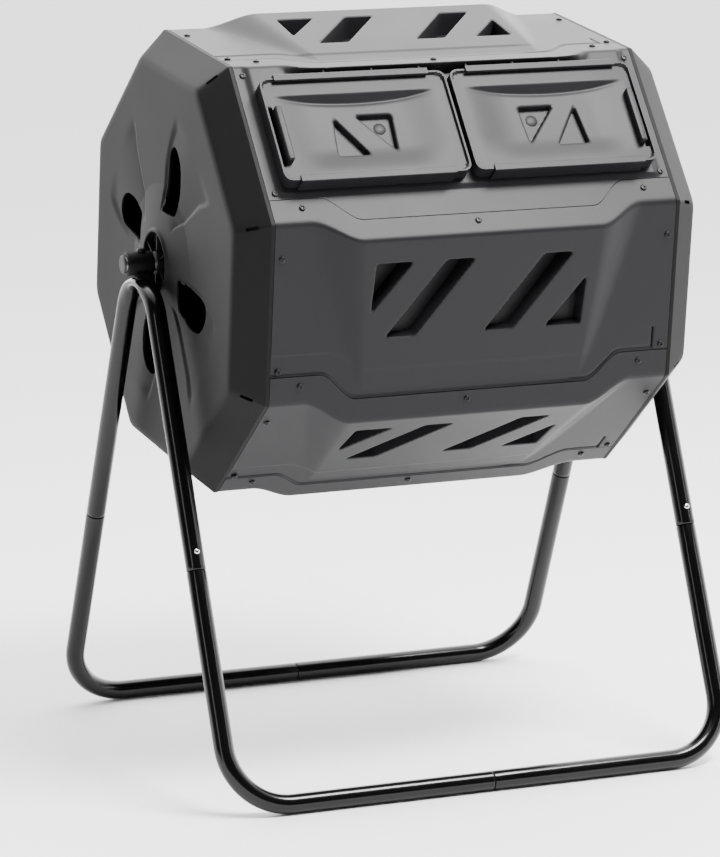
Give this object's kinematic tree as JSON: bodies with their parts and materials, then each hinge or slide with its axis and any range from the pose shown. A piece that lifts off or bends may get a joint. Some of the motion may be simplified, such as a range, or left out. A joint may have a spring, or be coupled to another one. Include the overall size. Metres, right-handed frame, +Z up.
{
  "type": "compost tumbler",
  "caption": "Two-chamber octagonal compost tumbler: plastic barrel with sliding doors and air vents, turning on a steel axle in a bent-tube stand.",
  "frame": {"origin": "centre of the stand's footprint on the ground, under the middle of the barrel", "axes": "+X along the axle towards the right end seen from the front, -Y towards the front (door side at rest), +Z up"},
  "size_m": [0.73, 0.64, 0.95],
  "materials": {
    "panel_plastic": "mid-dark grey moulded polypropylene with a fine satin grain",
    "cap_plastic": "dark grey moulded polypropylene with a fine matt grain",
    "frame_paint": "gloss black powder coat on steel tube",
    "saddle_plastic": "black moulded plastic",
    "plug_plastic": "light grey moulded plastic",
    "zinc_steel": "bright zinc-plated steel",
    "bright_steel": "plain spring steel"
  },
  "bodies": {
    "stand": {"left_frame_top": "frame_paint", "right_frame_top": "frame_paint", "left_front_leg": "frame_paint", "left_rear_leg": "frame_paint", "right_front_leg": "frame_paint", "right_rear_leg": "frame_paint", "left_front_snap_spring": "bright_steel", "left_rear_snap_spring": "bright_steel", "right_front_snap_spring": "bright_steel", "right_rear_snap_spring": "bright_steel", "axle_tube": "zinc_steel", "left_axle_plug": "plug_plastic", "left_axle_saddle": "saddle_plastic", "left_saddle_bolt": "zinc_steel", "left_saddle_nut": "zinc_steel", "right_axle_plug": "plug_plastic", "right_axle_saddle": "saddle_plastic", "right_saddle_bolt": "zinc_steel", "right_saddle_nut": "zinc_steel"},
    "barrel": {"top_panel": "panel_plastic", "front_panel": "panel_plastic", "lower_front_panel": "panel_plastic", "bottom_panel": "panel_plastic", "lower_back_panel": "panel_plastic", "back_panel": "panel_plastic", "upper_back_panel": "panel_plastic", "door_panel": "panel_plastic", "left_end_cap": "cap_plastic", "right_end_cap": "cap_plastic", "partition": "cap_plastic"},
    "left_door": {"left_door": "panel_plastic"},
    "right_door": {"right_door": "panel_plastic"},
    "left_front_snap_button": {"left_front_snap_button": "bright_steel"},
    "left_rear_snap_button": {"left_rear_snap_button": "bright_steel"},
    "right_front_snap_button": {"right_front_snap_button": "bright_steel"},
    "right_rear_snap_button": {"right_rear_snap_button": "bright_steel"}
  },
  "joints": [
    {"name": "barrel_spin", "type": "hinge", "parent": "stand", "child": "barrel", "pos_m": [0, 0, 0.64643], "axis": [-1, 0, 0], "continuous": true},
    {"name": "left_door_slide", "type": "slide", "parent": "barrel", "child": "left_door", "axis": [1, 0, 0], "range_m": [-0.24, 0]},
    {"name": "right_door_slide", "type": "slide", "parent": "barrel", "child": "right_door", "axis": [-1, 0, 0], "range_m": [-0.24, 0]},
    {"name": "left_front_snap_press", "type": "slide", "parent": "stand", "child": "left_front_snap_button", "axis": [0, 0.9152, -0.4029], "range_m": [0, 0.004], "stiffness_N_per_m": 800, "springref_m": -0.001},
    {"name": "left_rear_snap_press", "type": "slide", "parent": "stand", "child": "left_rear_snap_button", "axis": [0, -0.9152, -0.4029], "range_m": [0, 0.004], "stiffness_N_per_m": 800, "springref_m": -0.001},
    {"name": "right_front_snap_press", "type": "slide", "parent": "stand", "child": "right_front_snap_button", "axis": [0, 0.9152, -0.4029], "range_m": [0, 0.004], "stiffness_N_per_m": 800, "springref_m": -0.001},
    {"name": "right_rear_snap_press", "type": "slide", "parent": "stand", "child": "right_rear_snap_button", "axis": [0, -0.9152, -0.4029], "range_m": [0, 0.004], "stiffness_N_per_m": 800, "springref_m": -0.001}
  ]
}
